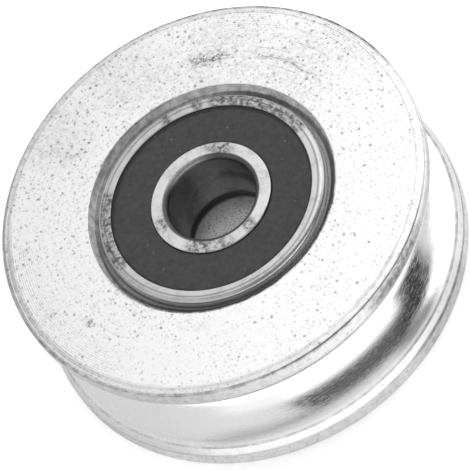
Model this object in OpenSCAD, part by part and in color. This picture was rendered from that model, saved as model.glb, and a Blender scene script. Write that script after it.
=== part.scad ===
// Round-groove track wheel, turned in one piece from steel bar, carried on two sealed
// deep-groove ball bearings that stand back to back in one through seat.
// It lies on its rear face: Z = 0 is that face, the axle runs along Z and the front face is up.

/* [Wheel] */
// Diameter over the two flanges
wheel_d = 48.5; // [44:0.5:60]
// Radius of the round groove that runs on the tube, rod or rope; its centre lies on the rim
groove_r = 5.2; // [4:0.1:5.6]
// Radial height of the bevel at each lip of the groove
lip_bevel_h = 0.48; // [0.3:0.02:0.8]
// How far the same bevel opens the groove at the rim, along the axle
lip_bevel_w = 0.89; // [0.5:0.01:1.1]
// Width of the skimmed band round the edge of each face
rim_band_w = 0.95; // [0.5:0.05:1.5]
// How far that band falls away towards the rim
rim_band_drop = 0.1; // [0.05:0.05:0.2]
// Rounding of the outer corner of each flange
rim_round = 0.35; // [0.1:0.05:0.5]
// Leg of the 45 degree chamfer at each mouth of the bearing seat
seat_chamfer = 1.15; // [0.6:0.05:1.5]
// Radial clearance left between the seat and the outer rings
seat_fit = 0.01; // [0:0.005:0.02]

/* [Bearing rings] */
// Bore, which takes the axle
bore_d = 10; // [9:0.5:11]
// Outside diameter
bearing_d = 26; // [25:0.5:30]
// Width of one bearing
bearing_w = 8; // [7.5:0.5:10]
// Gap between the two bearings
bearing_gap = 0.04; // [0.02:0.02:0.5]
// Rounding of the corners in the bore and on the outside
ring_round = 0.6; // [0.3:0.05:0.7]
// Rounding of the edges that face the seals
seal_edge_round = 0.12; // [0.05:0.01:0.2]
// Thickness of the inner ring at its faces
inner_wall = 1.87; // [1.6:0.01:2]
// Extra height of the shoulder beside the inner raceway
inner_step = 0.48; // [0.3:0.02:0.6]
// Thickness of the outer ring at its faces
outer_wall = 1.5; // [1.3:0.05:1.6]
// Extra height of the shoulder beside the outer raceway
outer_step = 0.85; // [0.7:0.05:1]
// Room between the back of a seal and the shoulders behind it
seal_room = 0.15; // [0.1:0.05:0.3]
// Height of the snap groove that holds a seal
snap_groove_h = 0.3; // [0.2:0.05:0.4]
// Thickness of the lip outside the snap groove
snap_lip_w = 0.25; // [0.2:0.05:0.3]

/* [Balls and cages] */
// Balls in each bearing
ball_count = 7; // [5:1:7]
// Diameter of the balls
ball_d = 4.762; // [4:0.001:5]
// Radius of the raceways as a share of the ball diameter
raceway_share = 0.52; // [0.515:0.005:0.53]
// Radial gap between a ball and each raceway
ball_gap = 0.03; // [0.01:0.01:0.05]
// Gap between a ball and its cage pocket
pocket_gap = 0.08; // [0.05:0.01:0.12]
// Sheet that the cage is pressed from
cage_t = 0.3; // [0.2:0.05:0.35]
// Width of the cage ribbon, across the pitch circle
cage_w = 1.9; // [1.6:0.1:2.2]
// Diameter of the rivet shanks
rivet_d = 0.8; // [0.6:0.05:0.9]
// Diameter of the rivet heads
rivet_head_d = 1.3; // [1.1:0.05:1.4]
// Height of the rivet heads
rivet_head_h = 0.3; // [0.2:0.05:0.35]
// Radial clearance of a rivet in its holes
rivet_fit = 0.02; // [0.01:0.01:0.04]

/* [Seals] */
// Depth of the seal below the faces of the rings
seal_sink = 0.22; // [0.15:0.01:0.25]
// Thickness of the rubber disc
seal_rubber_t = 0.38; // [0.3:0.02:0.4]
// Thickness of the steel washer behind the rubber
washer_t = 0.3; // [0.2:0.02:0.35]
// Radial width of the rubber lip and of the rubber bead
seal_lip_w = 0.45; // [0.35:0.05:0.6]
// Running gap between the seal lip and the inner ring
lip_gap = 0.05; // [0.03:0.01:0.1]
// Gap between the seal bead and the snap groove
bead_gap = 0.02; // [0.01:0.01:0.05]
// Radial gap between the steel washer and the rubber round it
washer_fit = 0.02; // [0.01:0.01:0.05]

/* [Hidden] */
$fn = 96;
eps = 0.01;
wheel_w = 2 * bearing_w + bearing_gap;
rim_r = wheel_d / 2;
seat_r = bearing_d / 2 + seat_fit;
bevel_start_r = rim_r - lip_bevel_h;
bevel_start_w = sqrt(pow(groove_r, 2) - pow(lip_bevel_h, 2));
bevel_end_w = groove_r + lip_bevel_w;
pitch_r = (bore_d + bearing_d) / 4;
ball_r = ball_d / 2;
race_r = raceway_share * ball_d;
// Each raceway's arc is wider than the balls and clears them by the gap at its deepest point
inner_race_centre = pitch_r - ball_r - ball_gap + race_r;
outer_race_centre = pitch_r + ball_r + ball_gap - race_r;
pocket_r = ball_r + pocket_gap;
inner_land_r = bore_d / 2 + inner_wall;
inner_shoulder_r = inner_land_r + inner_step;
outer_land_r = bearing_d / 2 - outer_wall;
outer_shoulder_r = outer_land_r - outer_step;
snap_r = outer_land_r + snap_groove_h;
lip_r = inner_land_r + lip_gap;
bead_r = snap_r - bead_gap;
rubber_back = seal_sink + seal_rubber_t;
seal_back = rubber_back + washer_t;
step_depth = seal_back + seal_room;
ball_step = 360 / ball_count;

steel_bright = [0.86, 0.86, 0.85];
steel_ring = [0.78, 0.78, 0.78];
steel_ball = [0.72, 0.74, 0.77];
steel_cage = [0.66, 0.66, 0.64];
steel_dull = [0.55, 0.56, 0.58];
rubber_grey = [0.22, 0.22, 0.22];

SIDES = ["front", "rear"];

// Takes off the corner at a point of a turning profile, down to a quarter circle.
// into holds the signs of the directions that lead from the corner into the metal.
module corner_cut(corner, radius, into) {
    centre = corner + radius * into;
    start = corner - eps * into;
    difference() {
        translate([min(start[0], centre[0]), min(start[1], centre[1])])
            square([radius + eps, radius + eps]);
        translate(centre)
            circle(r = radius);
    }
}

// A rectangle of a turning profile, from one radius to another and between two heights
module band(r1, r2, z1, z2) {
    translate([r1, z1])
        square([r2 - r1, z2 - z1]);
}

// Repeats a cut of the turning profile at the other face of a ring or wheel
module both_faces(width) {
    children();
    translate([0, width])
        mirror([0, 1])
            children();
}

// ---- Wheel ----

// Round groove, opened out at each lip by a bevel that runs on past the rim in its own slope
module groove_profile() {
    middle = wheel_w / 2;
    run_past = bevel_end_w + eps * (bevel_end_w - bevel_start_w) / lip_bevel_h;
    translate([rim_r, middle])
        circle(r = groove_r);
    polygon([
        [bevel_start_r, middle - bevel_start_w],
        [rim_r + eps, middle - run_past],
        [rim_r + eps, middle + run_past],
        [bevel_start_r, middle + bevel_start_w]
    ]);
}

// The blank's section: its rim bands fall away and its outer corners are rounded
module blank_profile() {
    band_r = rim_r - rim_band_w;
    difference() {
        polygon([
            [seat_r, 0],
            [band_r, 0],
            [rim_r, rim_band_drop],
            [rim_r, wheel_w - rim_band_drop],
            [band_r, wheel_w],
            [seat_r, wheel_w]
        ]);
        both_faces(wheel_w)
            corner_cut([rim_r, rim_band_drop], rim_round, [-1, 1]);
    }
}

module seat_mouth_profile() {
    polygon([
        [seat_r - eps, -eps],
        [seat_r + seat_chamfer + eps, -eps],
        [seat_r - eps, seat_chamfer + eps]
    ]);
}

module wheel_body() {
    color(steel_bright)
        rotate_extrude()
            difference() {
                blank_profile();
                groove_profile();
                both_faces(wheel_w)
                    seat_mouth_profile();
            }
}

// ---- Bearings: each is drawn on its own lower face ----

module at_bearing(side) {
    translate([0, 0, side == "front" ? wheel_w - bearing_w : 0])
        children();
}

module outer_ring(side) {
    color(steel_ring)
        at_bearing(side)
            rotate_extrude()
                difference() {
                    band(outer_shoulder_r, bearing_d / 2, 0, bearing_w);
                    translate([outer_race_centre, bearing_w / 2])
                        circle(r = race_r);
                    both_faces(bearing_w) {
                        corner_cut([bearing_d / 2, 0], ring_round, [-1, 1]);
                        band(outer_shoulder_r - eps, outer_land_r, -eps, step_depth);
                        band(outer_land_r - eps, snap_r, snap_lip_w, step_depth);
                        corner_cut([outer_land_r, 0], seal_edge_round, [1, 1]);
                    }
                }
}

module inner_ring(side) {
    color(steel_ring)
        at_bearing(side)
            rotate_extrude()
                difference() {
                    band(bore_d / 2, inner_shoulder_r, 0, bearing_w);
                    translate([inner_race_centre, bearing_w / 2])
                        circle(r = race_r);
                    both_faces(bearing_w) {
                        corner_cut([bore_d / 2, 0], ring_round, [1, 1]);
                        band(inner_land_r, inner_shoulder_r + eps, -eps, step_depth);
                        corner_cut([inner_land_r, 0], seal_edge_round, [-1, 1]);
                    }
                }
}

// ---- Seals: end is face for the outer end of a bearing and back for its inner end ----

module at_seal(side, end) {
    at_top = (side == "front") == (end == "face");
    at_bearing(side)
        translate([0, 0, at_top ? bearing_w : 0])
            mirror([0, 0, at_top ? 1 : 0])
                children();
}

// Rubber disc with a lip that runs round the inner ring and a bead that snaps into the outer one
module seal(side, end) {
    color(rubber_grey)
        at_seal(side, end)
            rotate_extrude()
                difference() {
                    union() {
                        band(lip_r, outer_land_r - bead_gap, seal_sink, rubber_back);
                        band(lip_r, lip_r + seal_lip_w, seal_sink, seal_back);
                        band(bead_r - seal_lip_w, bead_r, snap_lip_w + bead_gap, seal_back);
                    }
                    corner_cut([lip_r, seal_sink], seal_edge_round, [1, 1]);
                }
}

module seal_washer(side, end) {
    washer_r1 = lip_r + seal_lip_w + washer_fit;
    washer_r2 = bead_r - seal_lip_w - washer_fit;
    color(steel_dull)
        at_seal(side, end)
            rotate_extrude()
                band(washer_r1, washer_r2, rubber_back, seal_back);
}

// ---- Balls and cages ----

module ball(side, i) {
    color(steel_ball)
        at_bearing(side)
            rotate((i - 1) * ball_step)
                translate([pitch_r, 0, bearing_w / 2])
                    sphere(r = ball_r);
}

// Runs its children once at each ball, and again half a step on where offset is 0.5
module round_the_cage(offset) {
    for (i = [0 : ball_count - 1])
        rotate((i + offset) * ball_step)
            translate([pitch_r, 0, 0])
                children();
}

// One pressed half: a flat ribbon that rises over each ball in a round pocket
module cage_half() {
    difference() {
        intersection() {
            rotate_extrude()
                band(pitch_r - cage_w / 2, pitch_r + cage_w / 2, 0, pocket_r + cage_t + eps);
            difference() {
                union() {
                    cylinder(r = pitch_r + cage_w, h = cage_t);
                    round_the_cage(0)
                        sphere(r = pocket_r + cage_t);
                }
                round_the_cage(0)
                    sphere(r = pocket_r);
            }
        }
        round_the_cage(0.5)
            translate([0, 0, -eps])
                cylinder(r = rivet_d / 2 + rivet_fit, h = cage_t + 2 * eps);
    }
}

module cage(side, half) {
    color(steel_cage)
        at_bearing(side)
            translate([0, 0, bearing_w / 2])
                mirror([0, 0, half == "upper" ? 0 : 1])
                    cage_half();
}

// Section of half a rivet: shank through one ribbon and a low domed head
module rivet_profile() {
    head_sphere_r = (pow(rivet_head_d / 2, 2) + pow(rivet_head_h, 2)) / (2 * rivet_head_h);
    band(0, rivet_d / 2, 0, cage_t);
    intersection() {
        translate([0, cage_t + rivet_head_h - head_sphere_r])
            circle(r = head_sphere_r);
        band(0, rivet_head_d, cage_t, cage_t + rivet_head_h + eps);
    }
}

module cage_rivets(side) {
    color(steel_dull)
        at_bearing(side)
            translate([0, 0, bearing_w / 2])
                round_the_cage(0.5)
                    rotate_extrude() {
                        rivet_profile();
                        mirror([0, 1])
                            rivet_profile();
                    }
}

// ---- The wheel's pieces ----

wheel_body();
for (side = SIDES) {
    outer_ring(side);
    inner_ring(side);
    for (end = ["face", "back"]) {
        seal(side, end);
        seal_washer(side, end);
    }
    for (half = ["upper", "lower"])
        cage(side, half);
    cage_rivets(side);
    for (i = [1 : ball_count])
        ball(side, i);
}
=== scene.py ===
# Round-groove steel track wheel on sealed ball bearings. Metres, axle along Z, lying on its rear
# face; sections and the places of marks are given in millimetres.
import math

import bpy
import numpy as np
from mathutils import Matrix, Vector


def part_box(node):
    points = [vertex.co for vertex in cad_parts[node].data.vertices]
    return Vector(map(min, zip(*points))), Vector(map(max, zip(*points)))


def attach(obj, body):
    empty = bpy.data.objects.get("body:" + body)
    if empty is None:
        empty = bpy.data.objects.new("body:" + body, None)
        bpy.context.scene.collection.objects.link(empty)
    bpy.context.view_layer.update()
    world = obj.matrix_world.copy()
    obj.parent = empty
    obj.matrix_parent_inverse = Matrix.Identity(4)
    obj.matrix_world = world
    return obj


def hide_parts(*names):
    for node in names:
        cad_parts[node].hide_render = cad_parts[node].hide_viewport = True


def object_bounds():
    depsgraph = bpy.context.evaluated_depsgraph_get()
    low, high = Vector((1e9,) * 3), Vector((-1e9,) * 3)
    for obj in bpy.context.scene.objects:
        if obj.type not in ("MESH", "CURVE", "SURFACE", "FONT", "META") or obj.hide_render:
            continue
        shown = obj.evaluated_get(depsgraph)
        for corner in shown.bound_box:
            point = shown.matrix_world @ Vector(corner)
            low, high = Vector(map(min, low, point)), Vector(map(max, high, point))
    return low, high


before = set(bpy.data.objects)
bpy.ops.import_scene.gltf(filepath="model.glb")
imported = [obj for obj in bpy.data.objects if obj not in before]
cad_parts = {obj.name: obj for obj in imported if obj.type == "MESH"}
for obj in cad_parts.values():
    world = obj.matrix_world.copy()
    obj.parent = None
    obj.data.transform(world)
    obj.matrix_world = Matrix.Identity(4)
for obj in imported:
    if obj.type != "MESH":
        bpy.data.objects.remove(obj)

mm = 0.001
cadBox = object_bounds()
scene = bpy.context.scene
_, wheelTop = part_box("wheel_body")
rim, middle = wheelTop.x / mm, wheelTop.z / mm / 2  # the wheel's radius and its mid plane's height


class Wire:
    # One output socket; arithmetic on it adds Math nodes to its board
    def __init__(self, board, node, socket):
        self.board, self.node, self.socket = board, node, socket

    def out(self, name):
        return Wire(self.board, self.node, self.node.outputs[name])

    def __add__(self, other):
        return self.board.math("ADD", self, other)

    def __sub__(self, other):
        return self.board.math("SUBTRACT", self, other)

    def __rsub__(self, other):
        return self.board.math("SUBTRACT", other, self)

    def __mul__(self, other):
        return self.board.math("MULTIPLY", self, other)

    def __truediv__(self, other):
        return self.board.math("DIVIDE", self, other)

    def __rtruediv__(self, other):
        return self.board.math("DIVIDE", other, self)

    def root(self):
        return self.board.math("SQRT", self)

    __radd__ = __add__
    __rmul__ = __mul__


class Board:
    # The node tree of one material or of the world
    def __init__(self, tree):
        self.tree = tree
        tree.nodes.clear()

    def add(self, kind, settings, values, output=0):
        # Settings are set first. Values are numbers or wires, by the name or the number of a socket
        node = self.tree.nodes.new(kind)
        for name, value in settings.items():
            setattr(node, name, value)
        inputs = [s for s in node.inputs if s.enabled]
        for name, value in values.items():
            socket = inputs[name] if isinstance(name, int) else next(s for s in inputs if s.name == name)
            if isinstance(value, Wire):
                self.tree.links.new(value.socket, socket)
            else:
                socket.default_value = value
        outputs = [s for s in node.outputs if s.enabled]
        if not outputs:
            return None
        pick = outputs[output] if isinstance(output, int) else node.outputs[output]
        return Wire(self, node, pick)

    def math(self, operation, *values):
        return self.add("ShaderNodeMath", {"operation": operation}, dict(enumerate(values)))

    def vector(self, operation, *values, output=0):
        return self.add("ShaderNodeVectorMath", {"operation": operation}, dict(enumerate(values)), output)

    def distance(self, a, b):
        return self.math("ABSOLUTE", a - b)

    def ease(self, value, low, high, outLow=0.0, outHigh=1.0):
        return self.add("ShaderNodeMapRange", {"interpolation_type": "SMOOTHSTEP"},
                        {"Value": value, "From Min": low, "From Max": high,
                         "To Min": outLow, "To Max": outHigh})

    def blend(self, factor, a, b):
        return self.add("ShaderNodeMix", {"data_type": "RGBA"}, {"Factor": factor, "A": a, "B": b})

    def objectPoint(self):
        return self.add("ShaderNodeTexCoord", {}, {}, "Object")

    def noise(self, point, scale, detail=2.0, roughness=0.5):
        return self.add("ShaderNodeTexNoise", {}, {"Vector": point, "Scale": scale, "Detail": detail,
                                                   "Roughness": roughness})

    def lineNoise(self, w, scale, detail):
        return self.add("ShaderNodeTexNoise", {"noise_dimensions": "1D"},
                        {"W": w, "Scale": scale, "Detail": detail})

    def shaken(self, point, reach):
        # Moves each point a little, so that what is drawn there gets uneven edges
        return self.vector("MULTIPLY_ADD", self.noise(point, 2600, 1.0).out("Color"), (reach,) * 3, point)

    def bump(self, strength, distance, height):
        return self.add("ShaderNodeBump", {}, {"Strength": strength, "Distance": distance, "Height": height})


class Place:
    # Where a point of a turned piece lies, as wires in millimetres
    def __init__(self, b):
        self.point = b.objectPoint()
        x = b.add("ShaderNodeSeparateXYZ", {}, {"Vector": self.point}, "X")
        self.x, self.y, self.z = x * 1000, x.out("Y") * 1000, x.out("Z") * 1000
        self.radius = (self.x * self.x + self.y * self.y).root()
        self.fromMiddle = b.distance(self.z, middle)


def grey(level):
    return (level, level, level, 1)


def newMaterial(name):
    material = bpy.data.materials.new(name)
    material.use_nodes = True
    return material, Board(material.node_tree)


def finishMaterial(b, values):
    shader = b.add("ShaderNodeBsdfPrincipled", {}, values)
    b.add("ShaderNodeOutputMaterial", {}, {"Surface": shader})


def spots(b, point, scale, crowd, size, flat=True):
    # Soft dots, at most one to a cell; crowd is the share of the cells that hold one
    cells = b.add("ShaderNodeTexVoronoi", {"voronoi_dimensions": "2D" if flat else "3D"},
                  {"Vector": point, "Scale": scale}, "Distance")
    pick = b.add("ShaderNodeSeparateColor", {}, {"Color": cells.out("Color")}, "Red")
    shown = b.ease(crowd - pick, -0.02, 0.12)
    return shown * b.ease(cells / (pick.out("Green") * size + size * 0.6), 0.2, 1.0, 1, 0)


def patches(b, at, places):
    # Soft round areas, each given as x, y and reach, added together
    total = 0.0
    for placeX, placeY, reach in places:
        dx, dy = at.x - placeX, at.y - placeY
        total = b.ease((dx * dx + dy * dy).root(), reach * 0.3, reach, 1, 0) + total
    return total


def line(b, value, centre, width):
    # Soft line where the value is near its centre
    return b.ease(b.distance(value, centre), width * 0.35, width, 1, 0)


def roundedSection(corners, arcSteps):
    # Section of a turned piece. Each corner (radius, height, rounding) becomes an arc that starts
    # and ends where it is tangent to its sides: the arc's points are its start plus the rounding
    # times the turn of (sin, -cos) of the direction. Gives, for every short side of the section, its
    # start and the directions at its two ends.
    shortest = 1e-5  # sides below this length are left out
    corners = np.array(corners, float)
    p, rounding = corners[:, :2], corners[:, 2]
    if (p[:, 0] * np.roll(p[:, 1], -1) - np.roll(p[:, 0], -1) * p[:, 1]).sum() < 0:
        return roundedSection(corners[::-1], arcSteps)
    ahead = np.roll(p, -1, 0) - p
    ahead /= np.linalg.norm(ahead, axis=1)[:, None]
    back = np.roll(ahead, 1, 0)
    heading = np.arctan2(back[:, 1], back[:, 0])
    turn = np.arctan2(back[:, 0] * ahead[:, 1] - back[:, 1] * ahead[:, 0], (back * ahead).sum(1))
    reach = rounding * np.abs(np.tan(turn / 2))
    angle = heading[:, None] + turn[:, None] * np.linspace(0, 1, arcSteps + 1)
    swing = np.stack([np.sin(angle), -np.cos(angle)], -1)
    arc = (p - back * reach[:, None])[:, None] + (rounding * np.sign(turn))[:, None, None] * (
        swing - swing[:, :1])
    # The last point of an arc starts the straight side that follows it
    startPoint = arc.reshape(-1, 2)
    endPoint = np.roll(startPoint, -1, 0)
    startAngle = angle.reshape(-1)
    endAngle = np.concatenate([angle[:, 1:], angle[:, -1:]], 1).reshape(-1)
    real = np.linalg.norm(endPoint - startPoint, axis=1) > shortest
    return startPoint[real], startAngle[real], endAngle[real]


def turned(name, corners, body, material, replaced, rounds=360, arcSteps=8):
    # Carries a section once round the axle: point(a, s) = (r(s) cos a, r(s) sin a, z(s)).
    # The normal at each end of a side points out of the metal, a quarter turn right of its direction.
    section, startAngle, endAngle = roundedSection(corners, arcSteps)
    count = len(section)
    a = np.arange(rounds) * 2 * np.pi / rounds
    ring = np.stack([np.cos(a), np.sin(a)], -1)
    points = np.empty((count, rounds, 3))
    points[:, :, :2] = section[:, None, :1] * ring[None]
    points[:, :, 2] = section[:, None, 1]
    j, i = np.meshgrid(np.arange(count), np.arange(rounds), indexing="ij")
    jNext, iNext = (j + 1) % count, (i + 1) % rounds
    quads = np.stack([j * rounds + i, j * rounds + iNext, jNext * rounds + iNext, jNext * rounds + i], -1)
    sideAngle = np.stack([startAngle, startAngle, endAngle, endAngle], -1)[:, None, :]
    turnAngle = np.stack([a, np.roll(a, -1), np.roll(a, -1), a], -1)[None]
    normals = np.stack([np.sin(sideAngle) * np.cos(turnAngle), np.sin(sideAngle) * np.sin(turnAngle),
                        -np.cos(sideAngle) * np.ones_like(turnAngle)], -1)
    mesh = bpy.data.meshes.new(name)
    mesh.from_pydata((points * mm).reshape(-1, 3), [], quads.reshape(-1, 4))
    mesh.shade_smooth()
    mesh.normals_split_custom_set(normals.reshape(-1, 3))
    mesh.materials.append(material)
    piece = bpy.data.objects.new(name, mesh)
    scene.collection.objects.link(piece)
    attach(piece, body)
    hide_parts(replaced)


wheelSize = {"grooveRadius": 5.2, "bevelHeight": 0.48, "bevelWidth": 0.89, "lipRound": 1.2,
             "bandWidth": 0.95, "bandDrop": 0.1, "bandEdge": 0.12, "rimRound": 0.35,
             "seatRadius": 13.01, "seatChamfer": 1.15, "seatRound": 0.1}


def wheelCorners(size):
    # The groove's circle is centred on the rim; each half of its arc rounds one corner
    groove, seat = size["grooveRadius"], size["seatRadius"]
    lipHeight = math.sqrt(groove ** 2 - size["bevelHeight"] ** 2)
    arc = math.asin(lipHeight / groove)
    half = [(rim - groove, groove * math.tan(arc / 2), groove),
            (rim - size["bevelHeight"], lipHeight, 0),
            (rim, groove + size["bevelWidth"], size["lipRound"]),
            (rim, middle - size["bandDrop"], size["rimRound"]),
            (rim - size["bandWidth"], middle, size["bandEdge"]),
            (seat + size["seatChamfer"], middle, size["seatRound"]),
            (seat, middle - size["seatChamfer"], size["seatRound"])]
    front = [(r, middle + z, e) for r, z, e in half]
    rear = [(r, middle - z, e) for r, z, e in reversed(half)]
    return rear + front


wheelSteelLook = {
    # line is the grey of the painted shade lines along the corners, shadow that of the chamfer's painted
    # shadow ring
    "bright": 0.96, "chamfer": 0.50, "speck": 0.22, "dirtAndShade": 0.22, "line": 0.12, "shadow": 0.035,
    "faceRoughness": 0.36, "grooveRoughness": 0.12, "chamferRoughness": 0.46,
    "feedPitch": 0.25, "bump": 0.000007,
    # How strongly each kind of wear darkens the steel
    "strength": {"stain": 0.14, "dull": 0.17, "smudge": 0.75, "rub": 0.75, "mark": 0.35, "scratch": 0.35,
                 "speck": 0.58, "pit": 0.35},
    # Rubbed patches on the face, as x, y and reach
    "smudges": [(7.0, 16.5, 1.3), (8.2, 15.7, 1.5), (9.6, 15.3, 1.3), (-18.3, -5.0, 0.8)],
    "marks": [(-18.5, -4.1, 0.42), (-18.3, -4.8, 0.48), (-18.05, -5.4, 0.36),
              (-21.9, 2.4, 0.3), (-21.6, 0.9, 0.35), (-21.3, -1.2, 0.3)],
    # Zones where the lathe's feed marks show most
    "feedZones": [(-21.0, 3.0, 9.0), (-19.5, -8.0, 7.0), (21.0, 6.0, 8.0), (12.5, 15.5, 7.0)],
    # Broad dull areas
    "dull": [(9.0, 15.0, 8.0), (16.0, 8.0, 7.0), (0.0, 20.0, 7.0), (-10.0, 18.5, 6.0)],
    # Short scratches along the turn: the radius, then x, y and reach
    "scratches": [(18.55, (-17.1, -7.2, 2.2)), (16.0, (1.9, -15.9, 1.1)), (20.3, (17.9, 9.4, 3.0)),
                  (18.9, (14.6, 12.0, 3.4)), (16.9, (14.4, 8.8, 3.0))],
    # Rubbed bands along the turn: the radius, the half width, then x, y and reach
    "rubs": [(17.8, 0.6, (15.2, 9.3, 6.0)), (17.7, 0.5, (8.6, 15.6, 3.2))]}


def wheelZones(b, at, size):
    # Where each finish lies on the section, from the distances to the axle and to the mid plane
    radius, height = at.radius, at.fromMiddle
    arc, seat = size["grooveRadius"], size["seatRadius"]
    lip = arc + size["bevelWidth"]
    mouth, depth = seat + size["seatChamfer"], middle - size["seatChamfer"]
    face = b.ease(height, middle - 0.12, middle - 0.06)
    groove = b.ease(radius, 16, 16.5) * b.ease(height, arc - 0.15, arc, 1, 0)
    bevel = b.ease(height, arc - 0.05, arc + 0.05) * b.ease(height, lip - 0.09, lip + 0.11, 1, 0)
    bevel = bevel * b.ease(radius, rim - 0.75, rim - 0.55)
    land = b.ease(radius, rim - 0.15, rim - 0.05) * b.ease(height, lip + 0.03, lip + 0.21)
    chamfer = b.ease(radius, seat - 0.06, seat + 0.01) * b.ease(radius, mouth - 0.04, mouth + 0.02, 1, 0)
    chamfer = chamfer * b.ease(height, depth - 0.17, depth + 0.03)
    return face, groove, bevel, land, chamfer


def feedDistance(b, at, groove, size):
    # Distance across the lathe's feed marks: round the groove's circle inside the groove, else by
    # radius and height together
    acrossGroove = b.math("ARCTAN2", at.z - middle, rim - at.radius) * size["grooveRadius"]
    across = at.radius + at.z * 1.37
    return across + groove * (acrossGroove - across)


def turnedMarks(b, at, look, fine, drawn):
    # Scratches and rubbed bands along the turn
    scratch, rubbed = 0.0, 0.0
    for radius, place in look["scratches"]:
        scratch = line(b, at.radius + (fine - 0.5) * 0.1, radius, 0.07) * patches(b, at, [place]) + scratch
    for radius, width, place in look["rubs"]:
        rubbed = line(b, at.radius, radius, width) * patches(b, at, [place]) + rubbed
    return scratch, rubbed * b.ease(b.noise(drawn, 3.0, 4.0, 0.8), 0.46, 0.6)


def shadeAndDullZones(b, at, groove, bevel, land, mottle, shadedLip):
    # How far the lands, and then the bevels with the groove, are darkened: a little mottled dulling, and
    # painted shade over most of it. The painted shade is darkest on the front land in a narrow sector, on the
    # bevels on the -X side and on the groove low down on the -Y side
    x, y, z = at.x, at.y, at.z
    sector = b.ease(x * 0.5 - y * 0.866, 23.3, 24.2) * b.ease(z, 12, 13) * b.ease(z, 15.9, 15.7)
    wideSector = b.ease(x * 0.743 - y * 0.669, 20.4, 22.2) * b.ease(z, 12, 13) * b.ease(z, 15.4, 15.0)
    onLand = b.ease(mottle, 0.42, 0.62) * 0.12 + wideSector * 0.28
    onLand = onLand + sector * b.ease(mottle, 0.4, 0.6, 0.4, 0.65)
    onLand = onLand + b.ease(x, 6, -22) * b.ease(y, 5, -1) * b.ease(z, 8, 9) * 0.5
    onLand = onLand + b.ease(x, -18, -24) * b.ease(z, 9, 8) * 0.35 + shadedLip * 0.25 + 0.05
    onBevel = b.ease(x, -13, -19) * 0.4 + shadedLip * 0.12
    onBevel = onBevel + b.ease(z, 8, 9) * b.ease(x, 8, 3) * b.ease(x, 4, -10, 0.3, 0.6) + sector * 0.6
    lowDown = b.ease(y, -16, -19.5) * b.ease(x, 16, 12) * 0.35 + patches(b, at, [(11.0, -20.1, 5.5)]) * 0.45
    onGroove = b.ease(x, -10, -21) * 0.14 + b.ease(z, 3.7, 3.1) * lowDown
    return land * onLand, bevel * onBevel + groove * onGroove


def bandZones(b, at, size, mottle, broken):
    # The low band at the rim is painted greyer as shade, mottled, and its inner edge is a soft, uneven
    # painted dark line, widest on the shaded side. Gives the line and how grey the band is
    x, y = at.x, at.y
    edge = rim - size["bandWidth"]
    shadedSide = b.ease(x * 0.7 + y * 0.7, 4, -12)
    minusX = b.ease(x, -2, -16) * b.ease(y, -14, -4)
    wobble = (b.noise(at.point, 700, 2.0) - 0.5) * 0.5
    edgeLine = line(b, at.radius + wobble, edge, shadedSide * 0.2 + minusX * 0.06 + 0.14)
    edgeLine = edgeLine * b.ease(at.fromMiddle, middle - 0.22, middle - 0.12)
    edgeLine = edgeLine * (shadedSide * 0.05 + minusX * 0.10 + b.ease(x, 2, 12) * broken * 0.2 + 0.12)
    band = b.ease(at.radius + wobble * 0.5, edge - 0.1, edge + 0.1)
    band = band * b.ease(at.fromMiddle, middle - 0.17, middle - 0.12)
    band = band * (shadedSide * 0.7 + b.ease(y, 0, 9) * 0.9 + 0.3)
    return edgeLine, band * (b.ease(mottle, 0.42, 0.6) * 0.08 + 0.03)


def cornerShadeLines(b, at, size, broken, shadedLip):
    # Painted dark lines of shade and reflection along the corners: the rim's rounding and a soft grey just
    # inside it, the lip, the groove's edge and the mouth of the seat
    x, y, z, radius, height = at.x, at.y, at.z, at.radius, at.fromMiddle
    arc = size["grooveRadius"]
    lip, mouth = arc + size["bevelWidth"], size["seatRadius"] + size["seatChamfer"]
    corner = rim + middle
    rimLine = b.ease(radius + height, corner - 0.41, corner - 0.33) * broken
    rimLine = rimLine * (b.ease(x, -14, 6) * b.ease(y, -2, 6) * 0.6
                         + b.ease(x, 10, 0) * b.ease(y, 4, -4) * 0.35 + 0.2)
    rimEdge = b.ease(radius + height, corner - 0.57, corner - 0.45)
    rimEdge = rimEdge * (b.ease(y, -2, 6) * 0.22 + b.ease(x, -12, -20) * b.ease(y, -12, -4) * 0.25)
    lipLine = line(b, height, lip - 0.01, shadedLip * 0.12 + 0.2) * b.ease(x, 2, 14, 0.45, 1)
    lipLine = lipLine * b.ease(z, 7.0, 9.0, 1, 0) * b.ease(radius, rim - 0.25, rim - 0.15)
    lipLine = lipLine * (broken * 0.4 + 0.6) * (shadedLip * 0.25 + 0.6)
    grooveLine = line(b, height, arc - 0.02, 0.07) * b.ease(radius, rim - 0.85, rim - 0.65)
    grooveLine = grooveLine * b.ease(z, 7, 6) * (broken * 0.35 + b.ease(x, 2, 12) * 0.3)
    seatLine = line(b, radius, mouth + 0.03, 0.19) * (broken * 0.6 + 0.4)
    seatLine = seatLine * b.ease(height, middle - 0.22, middle - 0.12)
    seatLine = seatLine * (patches(b, at, [(-3.0, 13.9, 7.0)]) * 0.6
                           - b.ease(x, -6, -11) * b.ease(y, -3, 1) * 0.4 + b.ease(y, -3, -10) * 0.7
                           - b.ease(x, 5, 11) * b.ease(y, -5, -1) * 0.15 + 0.45)
    return rimLine + rimEdge + lipLine + grooveLine + seatLine * 0.85


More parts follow.
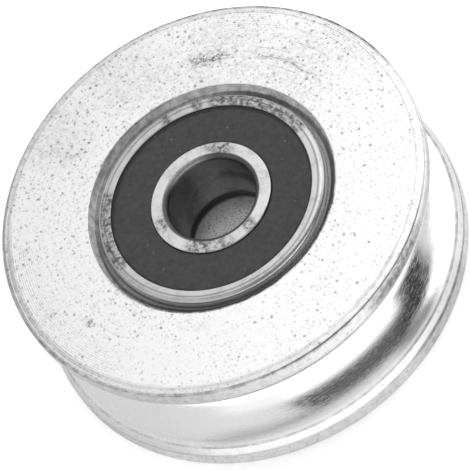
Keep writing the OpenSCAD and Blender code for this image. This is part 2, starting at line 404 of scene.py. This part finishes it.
def chamferSteel(b, at, look, fine, mottle):
    # The seat's chamfer: rough and mottled, with painted shade towards -Y and a painted lighter inner edge
    # there
    x, y, level = at.x, at.y, look["chamfer"]
    minusY, plusX = b.ease(y, 6, -6), b.ease(x, 4, 11)
    colour = b.blend(b.ease(fine * 0.4 + mottle * 0.6, 0.38, 0.62), grey(level * 0.75), grey(level * 1.35))
    colour = b.blend(b.ease(y + b.ease(x, -4, -12) * 3, 2, -9) * 0.85, colour, grey(level * 0.16))
    colour = b.blend(b.ease(at.radius, 13.6, 13.3) * minusY * 0.6, colour, grey(look["bright"]))
    # A painted shadow ring, close to the bearing on the +Y side and further out on the -Y side
    shadow = line(b, at.radius + (mottle - 0.5) * 0.15 - minusY * 0.33, 13.44,
                  minusY * 0.08 + plusX * 0.12 + 0.18)
    shadow = shadow * (plusX * 0.5 + b.ease(x, -6, -11) * b.ease(y, 6, 0) * 0.5
                       + b.ease(y, 0, 8) * 0.18 + 0.12)
    return b.blend(shadow, colour, grey(look["shadow"]))


def wheelSteel(look, size):
    material, b = newMaterial("turned_steel")
    at, strength, dirtAndShade = Place(b), look["strength"], grey(look["dirtAndShade"])
    x, y, z, point = at.x, at.y, at.z, at.point
    face, groove, bevel, land, chamfer = wheelZones(b, at, size)
    notGroove = 1 - groove
    # Painted shade on the rear lip on the +X, -Y side
    shadedLip = b.ease(y, -14, -17) * b.ease(x, 7.5, 11) * b.ease(z, 5, 4)
    # Feed marks of the lathe: noise across the turn only, strongest in a few zones
    feed = feedDistance(b, at, groove, size)
    fine = b.lineNoise(feed, 5.0, 3.0)
    coarse = b.lineNoise(feed, 1.2, 2.0)
    hair = b.lineNoise(feed, 16.0, 2.0)
    ripple = b.math("SINE", feed * (2 * math.pi / look["feedPitch"]) + coarse * 3)
    feedZone = patches(b, at, look["feedZones"]) * 0.8 + 0.25
    cloud = b.noise(point, 150, 3.0)
    mottle = b.noise(point, 1300, 3.0, 0.6)
    grain = b.noise(point, 4800, 2.0)
    shaken = b.shaken(point, 0.00025)
    # Streaks drawn out along the turn, six times as long as wide
    around = b.math("ARCTAN2", y, x) * 24
    drawn = b.add("ShaderNodeCombineXYZ", {}, {"X": around * 0.16, "Y": feed})
    streak = b.ease(b.noise(drawn, 6.0, 3.0, 0.7), 0.46, 0.60)
    # More specks on one side of the wheel than on the other
    crowd = b.ease(x * 0.5 + y * 0.87, -24, 14, 0.24, 0.62) * b.ease(x * 0.8 - y * 0.6, 12, 21, 1, 0.45)
    crowd = crowd + (cloud - 0.5) * 0.7
    specks = spots(b, shaken, 1150.0, crowd * 0.8, 0.20)
    specks = specks + spots(b, shaken, 1900.0, crowd + 0.16, 0.28) * 0.5
    pits = spots(b, shaken, 1600.0, 0.5, 0.35, False)
    blotch = b.ease(b.noise(shaken, 2100, 4.0, 0.7), 0.44, 0.60)
    smudge = patches(b, at, look["smudges"]) * blotch * face
    marks = patches(b, at, look["marks"]) * b.ease(mottle, 0.35, 0.55) * face
    stain = b.ease(b.noise(point, 420, 4.0, 0.65) * 0.6 + cloud * 0.4, 0.55, 0.68)
    scratch, rubbed = turnedMarks(b, at, look, fine, drawn)
    broken = b.ease(b.noise(shaken, 800, 4.0, 0.65), 0.36, 0.62) * 0.75 + 0.25
    # The bare plating: mottled, grainy and, outside the groove, marked by the feed
    speckled = (grain - 0.5) * 0.8 + (b.noise(point, 2300, 2.0) - 0.5) * 0.6
    # The steel is painted a little lighter towards -Y, as light
    tone = 1.05 + b.ease(y, -8, -17) * 0.04 - 0.08 * b.ease(mottle, 0.45, 0.65)
    tone = tone - 0.03 * b.ease(cloud, 0.45, 0.7) - speckled * (1 - groove * 0.8)
    tone = tone - (fine - 0.5) * 0.55 * feedZone * notGroove
    fineFeed = (hair - 0.5) * 0.3 + ripple * 0.22 * face * b.ease(at.radius, 19.8, 21.3, 0.1, 1)
    tone = tone - fineFeed * feedZone * notGroove
    steel = b.blend(tone, grey(0.0), grey(look["bright"]))
    # Wear, one kind over the other
    steel = b.blend(stain * (face + land) * strength["stain"], steel, dirtAndShade)
    dull = patches(b, at, look["dull"]) * (face * b.ease(mottle, 0.4, 0.6, 0.4, 1.0))
    steel = b.blend(dull * strength["dull"], steel, dirtAndShade)
    worn = smudge * strength["smudge"] + rubbed * face * strength["rub"]
    worn = worn + marks * strength["mark"] + scratch * strength["scratch"] * face
    steel = b.blend(worn, steel, dirtAndShade)
    dotted = specks * face * strength["speck"] + pits * land * strength["pit"]
    steel = b.blend(dotted, steel, grey(look["speck"]))
    # Painted shade over the lands, the rim's low band, the bevels and the groove
    landShadeAndDull, restShadeAndDull = shadeAndDullZones(b, at, groove, bevel, land, mottle, shadedLip)
    bandLine, band = bandZones(b, at, size, mottle, broken)
    for weight in (landShadeAndDull, band, restShadeAndDull):
        steel = b.blend(weight, steel, dirtAndShade)
    steel = b.blend(chamfer, steel, chamferSteel(b, at, look, fine, mottle))
    # Painted shade lines along the band's edge and the corners
    lines = bandLine + cornerShadeLines(b, at, size, broken, shadedLip)
    colour = b.blend(lines, steel, grey(look["line"]))
    height = fine * 0.6 + coarse * 0.7 + mottle * 0.4 + grain * 0.2 - specks * 0.8
    height = height * (1 - groove * 0.9) + (hair * 0.12 + streak * 0.2) * groove
    roughness = look["faceRoughness"] + groove * (look["grooveRoughness"] - look["faceRoughness"])
    roughness = roughness + chamfer * (look["chamferRoughness"] - look["faceRoughness"])
    roughness = roughness + (mottle - 0.5) * 0.15 * notGroove + specks * 0.2 * face
    roughness = roughness + (fine - 0.5) * 0.1 + groove * streak * 0.15
    finishMaterial(b, {"Base Color": colour, "Metallic": 1.0, "Roughness": roughness,
                       "Normal": b.bump(1.0, look["bump"], height)})
    return material


ringSize = {"width": 8.0, "boreRadius": 5.0, "cornerRound": 0.6, "edgeRound": 0.12, "innerLand": 6.87,
            "innerShoulder": 7.35, "outerLand": 11.5, "outerShoulder": 10.65, "shoulderRound": 0.05,
            "snap": 11.8, "snapLip": 0.25, "stepDepth": 1.05,
            "raceRadius": 2.476, "innerRaceCentre": 9.065, "outerRaceCentre": 8.935}


def ringCorners(size, side, part):
    low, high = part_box(f"{side}_{part}")
    halfWidth, race = size["width"] / 2, size["raceRadius"]
    step, snapLip = halfWidth - size["stepDepth"], halfWidth - size["snapLip"]
    if part == "outer_ring":
        shoulder, centre, outward = size["outerShoulder"], size["outerRaceCentre"], 1
        end = [(size["snap"], step, 0), (size["snap"], snapLip, 0), (size["outerLand"], snapLip, 0),
               (size["outerLand"], halfWidth, size["edgeRound"]),
               (high.x / mm, halfWidth, size["cornerRound"])]
    else:
        shoulder, centre, outward = size["innerShoulder"], size["innerRaceCentre"], -1
        end = [(size["innerLand"], step, 0), (size["innerLand"], halfWidth, size["edgeRound"]),
               (size["boreRadius"], halfWidth, size["cornerRound"])]
    # The raceway's arc is one rounding of the corner where the tangents at its two edges meet
    cosine = abs(shoulder - centre) / race
    mouth = race * math.sqrt(1 - cosine * cosine)
    half = [(shoulder, mouth, 0), (shoulder, step, size["shoulderRound"])] + end
    loop = [(centre + outward * race / cosine, 0, race)] + half + [(r, -z, e) for r, z, e in reversed(half)]
    return [(r, low.z / mm + halfWidth + z, e) for r, z, e in loop]


ringSteelLook = {
    "bright": 0.73, "outerBright": 0.62, "edge": 0.95, "shadedEdge": 0.62, "smudge": 0.12,
    # The bore is painted dark as shade, its mouth darker still with a painted highlight, and the rear bore
    # painted lighter away from the joint, as light from behind
    "bore": 0.22, "mouth": 0.5, "shadedMouth": 0.09, "farBore": 1.0, "nearBore": 0.40,
    "dust": 0.14, "frontDust": 0.08, "jointShade": 0.10, "roughness": 0.26, "bump": 0.000004,
    # Handled patches on the ring faces, as x, y and reach
    "patches": [(-12.1, 1.5, 2.3), (-11.1, 4.8, 2.2), (-9.8, 7.2, 2.0), (-12.2, -0.6, 1.2), (11.9, 2.2, 2.2),
                (11.0, 5.2, 2.6), (9.3, 7.9, 2.6), (7.2, 9.9, 2.4), (4.4, 11.4, 1.0), (0.6, 12.1, 0.9),
                (-12.5, 0.3, 1.5), (-12.1, 3.2, 1.6), (12.1, 3.2, 1.6), (10.8, 6.3, 1.2), (-4.5, -4.2, 1.2),
                (-3.9, -4.8, 2.6), (-1.4, -6.1, 1.5), (3.7, 5.0, 2.4), (-6.1, 0.6, 1.5), (1.8, -5.9, 1.2)],
    # The front bore: places of painted shade and painted light, and the painted highlight on its mouth
    "darkBore": [(-2.3, 4.4, 2.6)], "lightBore": [(3.0, 4.0, 3.0), (-4.8, 1.6, 2.2)],
    "litMouth": [(-0.9, 5.3, 3.9)]}


def boreSteel(b, at, look, bore, rearBore, dust, colour):
    # The front ring's bore, painted dark as shade, with a darker band, painted darker and lighter places and
    # a painted highlight on its mouth; then the rear ring's, dustier and painted lighter further from the
    # joint
    x, z, point = at.x, at.z, at.point
    dark = line(b, z + (b.noise(point, 600, 3.0) - 0.5) * 2, 12.2, 1.1) * b.ease(x, 1.2, 3.4) * 0.6
    dark = dark + patches(b, at, look["darkBore"]) * 0.45 - patches(b, at, look["lightBore"]) * 0.33
    dark = dark + b.ease(b.noise(point, 500, 3.0, 0.6), 0.40, 0.62) * 0.35 + 0.12
    boreGrey = b.blend(dark, grey(look["bore"] * 1.25), grey(look["bore"] * 0.25))
    colour = b.blend(bore * 0.92, colour, boreGrey)
    mouth = bore * b.ease(at.fromMiddle, 7.3, 7.5)
    mouthGrey = b.blend(patches(b, at, look["litMouth"]), grey(look["shadedMouth"]), grey(look["mouth"]))
    colour = b.blend(mouth * 0.8, colour, mouthGrey)
    colour = b.blend(dust * bore * 0.4, colour, grey(look["frontDust"]))
    # Painted light: the rear bore lighter further from the joint
    rearGrey = b.blend(b.ease(z, 7.4, 2.5), grey(look["nearBore"]), grey(look["farBore"]))
    rearGrey = b.blend(dust * 0.7, rearGrey, grey(look["dust"]))
    return b.blend(rearBore, colour, rearGrey)


def ringSteel(look):
    material, b = newMaterial("ground_steel")
    at = Place(b)
    x, y, z, radius, point = at.x, at.y, at.z, at.radius, at.point
    face = b.ease(at.fromMiddle, middle - 0.17, middle - 0.07)
    bore = b.ease(radius, 5.42, 5.66, 1, 0)
    rearBore = b.ease(z, 6.8, 7.6, 1, 0) * bore
    fine = b.lineNoise(radius, 9.0, 2.0)
    grain = b.noise(point, 3000, 2.0)
    shaken = b.shaken(point, 0.0003)
    smudge = b.ease(b.noise(shaken, 1600, 4.0, 0.75), 0.38, 0.62)
    handled = patches(b, at, look["patches"]) * b.ease(radius, 7.5, 11.0, 0.65, 0.95)
    handled = b.math("MINIMUM", handled + b.ease(b.noise(point, 420, 3.0), 0.42, 0.62, 0.08, 0.3), 0.95)
    groundLine = line(b, radius + (b.noise(point, 250, 1.0) - 0.5) * 0.12, 12.25, 0.15)
    # The outer ring's face is painted darker than the inner ring's, as shade
    metal = b.blend(b.ease(radius, 7.5, 11.0), grey(look["bright"]), grey(look["outerBright"]))
    # The ground rounding at the outer edge: painted bright as a highlight, with two stretches painted darker
    # as shade
    shadedStretch = b.ease(x * 0.8 - y * 0.6, 9, 11) * b.ease(radius, 12.85, 12.65)
    edgeGrey = b.blend(shadedStretch, grey(look["edge"]), grey(look["shadedEdge"]))
    edgeGrey = b.blend(b.ease(x * 0.8 + y * 0.6, -3, -9), edgeGrey, grey(look["shadedEdge"]))
    metal = b.blend(b.ease(radius, 12.58, 12.7), metal, edgeGrey)
    colour = b.blend((smudge * 0.75 + 0.25) * handled * face, metal, grey(look["smudge"]))
    colour = b.blend(groundLine * face * 0.55, colour, grey(look["smudge"]))
    dust = b.ease(b.noise(point, 3600, 3.0, 0.7), 0.50, 0.64) * 0.8
    dust = dust + spots(b, shaken, 3000.0, 0.4, 0.5, False) * 0.6
    colour = boreSteel(b, at, look, bore, rearBore, dust, colour)
    # Painted shade in the gap where the two rings meet in the bore: dark, less metallic, with a lighter
    # middle line
    jointShade = line(b, at.fromMiddle, 0.0, 0.95) * b.ease(radius, 6.2, 6.3, 1, 0)
    jointShadeGrey = b.blend(line(b, at.fromMiddle, 0.0, 0.3), grey(look["jointShade"] * 1.15),
                         grey(look["jointShade"] * 2.3))
    colour = b.blend(jointShade * 0.95, colour, jointShadeGrey)
    height = fine + grain * 0.6 + dust * rearBore
    roughness = look["roughness"] + smudge * handled * 0.25 + grain * 0.08 + bore * 0.14 + jointShade * 0.2
    finishMaterial(b, {"Base Color": colour, "Metallic": 1 - jointShade * 0.8, "Roughness": roughness,
                       "Normal": b.bump(0.6, look["bump"], height)})
    return material


sealSize = {"sink": 0.22, "rubberBack": 0.60, "back": 0.90, "lip": 6.92, "lipWidth": 0.45,
            "face": 11.48, "bead": 11.78, "beadDepth": 0.27,
            "edgeRound": 0.12, "faceRound": 0.04, "backRound": 0.03}


def sealCorners(size, side, end):
    low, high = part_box(f"{side}_{end}_seal")
    atTop = (side == "front") == (end == "face")
    surface = high.z / mm + size["sink"] if atTop else low.z / mm - size["sink"]
    inward = -1 if atTop else 1
    face, bead, back, backRound = size["face"], size["bead"], size["back"], size["backRound"]
    lip, width, rubberBack = size["lip"], size["lipWidth"], size["rubberBack"]
    depths = [(lip, size["sink"], size["edgeRound"]), (face, size["sink"], size["faceRound"]),
              (face, size["beadDepth"], 0), (bead, size["beadDepth"], backRound), (bead, back, backRound),
              (bead - width, back, backRound), (bead - width, rubberBack, 0),
              (lip + width, rubberBack, 0), (lip + width, back, backRound), (lip, back, backRound)]
    return [(r, surface + inward * d, e) for r, d, e in depths]


rubberLook = {"dark": 0.030, "light": 0.076, "rim": 0.012, "rimRadius": 11.26, "dust": 0.4,
              "roughness": 0.58, "bump": 0.00001}


def rubber(look):
    material, b = newMaterial("seal_rubber")
    at = Place(b)
    point, reach = at.point, 0.1
    grain = b.noise(point, 3800, 2.0)
    dust = spots(b, point, 700.0, 0.10, 0.10)
    film = b.noise(point, 420, 3.0) * 0.5 + b.ease(b.noise(point, 1500, 4.0, 0.7), 0.3, 0.7) * 0.5
    # A painted shadow along the seal's outer edge, reaching further in on the +Y side
    rimPlace = at.radius + (b.noise(point, 900, 2.0) - 0.5) * 0.5 + b.ease(at.y, 1, 8) * 0.22
    rimShadow = b.ease(rimPlace, look["rimRadius"] - reach, look["rimRadius"] + reach)
    colour = b.blend(film, grey(look["dark"]), grey(look["light"]))
    colour = b.blend(rimShadow * 0.8, colour, grey(look["rim"]))
    colour = b.blend(dust * 0.45, colour, grey(look["dust"]))
    finishMaterial(b, {"Base Color": colour, "Roughness": look["roughness"] + (grain - 0.5) * 0.3,
                       "Normal": b.bump(0.5, look["bump"], grain)})
    return material


wheelFinish = wheelSteel(wheelSteelLook, wheelSize)
ringFinish = ringSteel(ringSteelLook)
rubberFinish = rubber(rubberLook)
print("finishes made")

turned("wheel_blank", wheelCorners(wheelSize), "wheel", wheelFinish, "wheel_body",
       rounds=480, arcSteps=16)
for side in ("front", "rear"):
    turned(f"{side}_outer_race", ringCorners(ringSize, side, "outer_ring"), "wheel",
           ringFinish, f"{side}_outer_ring")
    turned(f"{side}_inner_race", ringCorners(ringSize, side, "inner_ring"), f"{side}_inner",
           ringFinish, f"{side}_inner_ring")
    for end in ("face", "back"):
        turned(f"{side}_{end}_rubber", sealCorners(sealSize, side, end), "wheel",
               rubberFinish, f"{side}_{end}_seal")
print("turned pieces made")

# Steel of the pieces that stay as they come: for each kind its grey level, roughness and noise scale
plainLooks = {"washer": {"name": "washer_sheet", "level": 0.62, "roughness": 0.34, "scale": 600},
              "cage": {"name": "pressed_sheet", "level": 0.7, "roughness": 0.3, "scale": 500},
              "ball": {"name": "polished_steel", "level": 0.8, "roughness": 0.09, "scale": 700}}


def plainSteel(look):
    material, b = newMaterial(look["name"])
    point = b.objectPoint()
    cloud = b.noise(point, look["scale"], 3.0)
    grain = b.noise(point, look["scale"] * 9, 1.0)
    colour = b.blend(b.ease(cloud, 0.4, 0.65), grey(look["level"]), grey(look["level"] * 0.8))
    finishMaterial(b, {"Base Color": colour, "Metallic": 1.0,
                       "Roughness": look["roughness"] + (cloud - 0.5) * 0.1,
                       "Normal": b.bump(0.4, 0.000003, grain)})
    return material


for kind, look in plainLooks.items():
    material = plainSteel(look)
    for name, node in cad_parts.items():
        if kind in name:
            node.data.materials.clear()
            node.data.materials.append(material)
print("carried pieces finished")

# The room round the wheel, in degrees: each patch is an azimuth range from -Y towards +X, an
# elevation range, the softness of its edges and its brightness; later ones lie over earlier ones
room = {"walls": 0.72, "patches": [
    ((-200, 200), (76, 120), (10, 14), 0.25),
    ((-150, -27), (-20, 62), (24, 16), 0.76),
    ((-58, -27), (-20, 26), (16, 16), 0.98),
    ((-27, 84), (35, 76), (3, 20), 0.12),
    ((-27, 48), (-40, 27), (3, 14), 1.25),
    ((50, 77), (2, 60), (12, 10), 0.05),
    ((89, 150), (24, 69), (12, 8), 1.25),
    ((84, 165), (68.5, 120), (12, 6), 0.30)]}


def makeWorld(look):
    world = bpy.data.worlds.new("studio")
    scene.world = world
    world.use_nodes = True
    b = Board(world.node_tree)
    direction = b.add("ShaderNodeTexCoord", {}, {}, "Generated")
    x = b.add("ShaderNodeSeparateXYZ", {}, {"Vector": direction}, "X")
    azimuth = b.math("ARCTAN2", x, x.out("Y") * -1) * (180 / math.pi)
    elevation = b.math("ARCSINE", x.out("Z")) * (180 / math.pi)
    level = look["walls"]
    for (left, right), (low, high), (sideSoft, endSoft), brightness in look["patches"]:
        mask = b.ease(elevation, low - endSoft / 2, low + endSoft / 2)
        mask = mask * b.ease(elevation, high - endSoft / 2, high + endSoft / 2, 1, 0)
        mask = mask * b.ease(azimuth, left - sideSoft / 2, left + sideSoft / 2)
        mask = mask * b.ease(azimuth, right - sideSoft / 2, right + sideSoft / 2, 1, 0)
        level = level + mask * (brightness - level)
    # Seen straight on the room is white
    direct = b.add("ShaderNodeLightPath", {}, {}, "Is Camera Ray")
    level = level + direct * (1 - level)
    background = b.add("ShaderNodeBackground", {}, {"Color": grey(1.0), "Strength": level})
    b.add("ShaderNodeOutputWorld", {}, {"Surface": background})


makeWorld(room)

floorLook = {"halfSize": 4.0, "paper": 0.92, "shaded": 0.40, "glow": 0.5}


def floorMaterial(look):
    material, b = newMaterial("floor_paper")
    direct = b.add("ShaderNodeLightPath", {}, {}, "Is Camera Ray")
    mirrored = b.math("MAXIMUM", direct.out("Is Glossy Ray"), direct.out("Is Transmission Ray"))
    # Seen in the metal, the glow is weaker close to the wheel, faint under its bore, and the paper is painted
    # darker in a ring on the +X side: painted shade that shows only in reflections
    point = b.objectPoint()
    reach = b.vector("LENGTH", point, output="Value")
    x = b.add("ShaderNodeSeparateXYZ", {}, {"Vector": point}, "X")
    shade = b.ease(x, 0.005, 0.03) * b.ease(reach, 0.0272, 0.0284) * b.ease(reach, 0.0335, 0.036, 0.25, 0)
    inMetal = b.ease(reach, 0.024, 0.045, 0.22, 0.6) * (1 - shade) + b.ease(reach, 0.0045, 0.0058, 0.03, 0.0)
    glowing = direct * look["glow"] + mirrored * inMetal
    paperGrey = b.blend(shade * mirrored, grey(look["paper"]), grey(look["shaded"]))
    paper = b.add("ShaderNodeBsdfDiffuse", {}, {"Color": paperGrey})
    glow = b.add("ShaderNodeEmission", {}, {"Color": b.blend(glowing, grey(0.0), grey(1.0)), "Strength": 1.0})
    both = b.add("ShaderNodeAddShader", {}, {0: paper, 1: glow})
    b.add("ShaderNodeOutputMaterial", {}, {"Surface": both})
    return material


def addFloor(look):
    reach = look["halfSize"]
    mesh = bpy.data.meshes.new("floor")
    mesh.from_pydata([(-reach, -reach, 0), (reach, -reach, 0), (reach, reach, 0), (-reach, reach, 0)], [],
                     [(0, 1, 2, 3)])
    mesh.materials.append(floorMaterial(look))
    floor = bpy.data.objects.new("floor", mesh)
    scene.collection.objects.link(floor)


addFloor(floorLook)

# Azimuth and elevation as in the room; distance and size in metres, power in watts
keyPanel = {"azimuth": 134, "elevation": 63, "distance": 0.28, "size": (0.27, 0.18), "power": 0.095}


def addPanel(name, look):
    azimuth, elevation = math.radians(look["azimuth"]), math.radians(look["elevation"])
    direction = Vector((math.sin(azimuth) * math.cos(elevation), -math.cos(azimuth) * math.cos(elevation),
                        math.sin(elevation)))
    light = bpy.data.lights.new(name, "AREA")
    light.shape, light.energy = "RECTANGLE", look["power"]
    light.size, light.size_y = look["size"]
    lamp = bpy.data.objects.new(name, light)
    lamp.location = direction * look["distance"]
    lamp.visible_camera = False
    lamp.rotation_euler = direction.to_track_quat("Z", "Y").to_euler()
    scene.collection.objects.link(lamp)


addPanel("key_panel", keyPanel)

# Lens and sensor in millimetres, clipping in metres; the target says how far right, up and ahead of
# the camera the centre of the front face lies, in millimetres
view = {"lens": 430.9, "sensor": 36, "clip": (0.05, 20), "target": (-2.62819, 4.11194, 606.65136),
        "right": (0.827, -0.454, -0.331), "up": (0.562, 0.668, 0.487), "forward": (0, 0.589, -0.808)}


def addCamera(look):
    right, up, forward = (Vector(look[name]).normalized() for name in ("right", "up", "forward"))
    across, above, ahead = look["target"]
    data = bpy.data.cameras.new("camera")
    data.lens, data.sensor_width = look["lens"], look["sensor"]
    data.clip_start, data.clip_end = look["clip"]
    camera = bpy.data.objects.new("camera", data)
    faceCentre = Vector((0, 0, cadBox[1].z))
    place = faceCentre - (right * across + up * above + forward * ahead) * mm
    camera.matrix_world = Matrix.Translation(place) @ Matrix((right, up, -forward)).transposed().to_4x4()
    scene.collection.objects.link(camera)
    scene.camera = camera


addCamera(view)
scene.view_settings.view_transform = "Standard"
print("floor, light and camera set")
